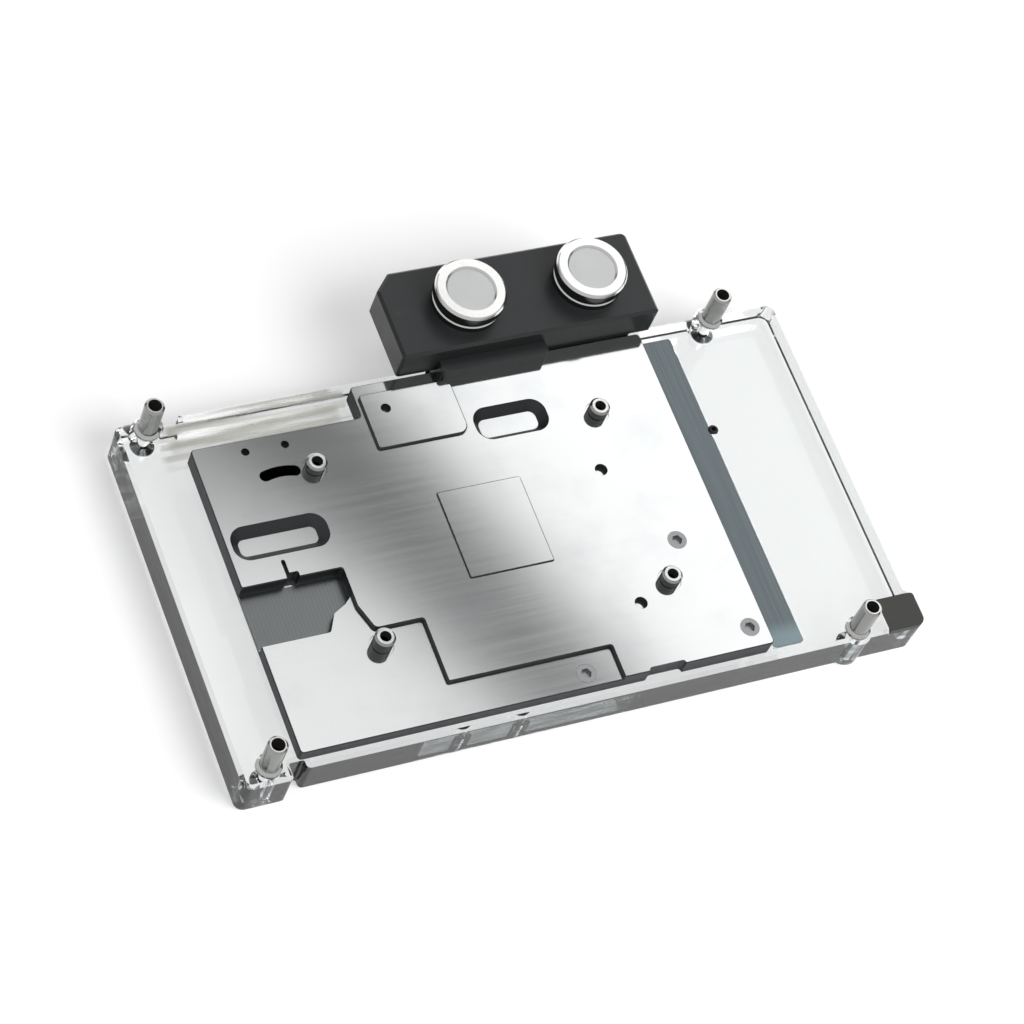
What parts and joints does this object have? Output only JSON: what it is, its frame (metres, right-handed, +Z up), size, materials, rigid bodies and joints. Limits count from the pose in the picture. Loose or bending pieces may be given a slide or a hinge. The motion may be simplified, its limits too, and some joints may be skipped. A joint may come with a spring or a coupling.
{
  "type": "full-cover liquid cooling block for a graphics board",
  "caption": "Nickel-plated cold plate on a milled clear top, with a black two-port terminal, plugs, corner posts and a flush light strip.",
  "frame": {"origin": "middle of the whole footprint, on the surface that the clear top lies on", "axes": "+X along the long side, away from the ear side and towards the dark pad; +Y towards the terminal; +Z up, out of the cold plate"},
  "size_m": [0.1764, 0.116, 0.0312],
  "materials": {
    "clear_acrylic": "clear acrylic, milled and polished, with machined coolant ways",
    "nickel": "nickel plated copper, satin face with a fine lapped grain",
    "steel": "plain stainless steel",
    "seal_rubber": "black sealing rubber, matt",
    "acetal": "black acetal, milled, softly glossy",
    "plug_nickel": "polished nickel rim with a matt grey dished centre",
    "screw_steel": "steel screws, dark satin",
    "strip_anodised": "grey anodised aluminium, fine brushed",
    "circuit_board": "white lacquered circuit board",
    "led_resin": "pale yellow LED resin",
    "black_pad": "black rubber pad, satin"
  },
  "bodies": {
    "root": {"clear_top": "clear_acrylic", "cold_plate": "nickel", "jet_plate": "steel", "plate_seal": "seal_rubber", "terminal": "acetal", "terminal_seals": "seal_rubber", "terminal_screws": "screw_steel", "port_plug_left": "plug_nickel", "port_plug_right": "plug_nickel", "plug_seal_left": "seal_rubber", "plug_seal_right": "seal_rubber", "standoff_back_left": "plug_nickel", "standoff_back_right": "plug_nickel", "standoff_front_left": "plug_nickel", "standoff_front_right": "plug_nickel", "die_post_front_left": "plug_nickel", "die_post_back_left": "plug_nickel", "die_post_front_right": "plug_nickel", "die_post_back_right": "plug_nickel", "standoff_screws": "screw_steel", "plate_screws": "screw_steel", "clear_screws": "screw_steel", "light_cover": "strip_anodised", "light_board": "circuit_board", "light_leds": "led_resin", "lead_grommet": "seal_rubber", "corner_pad": "black_pad"}
  },
  "joints": []
}
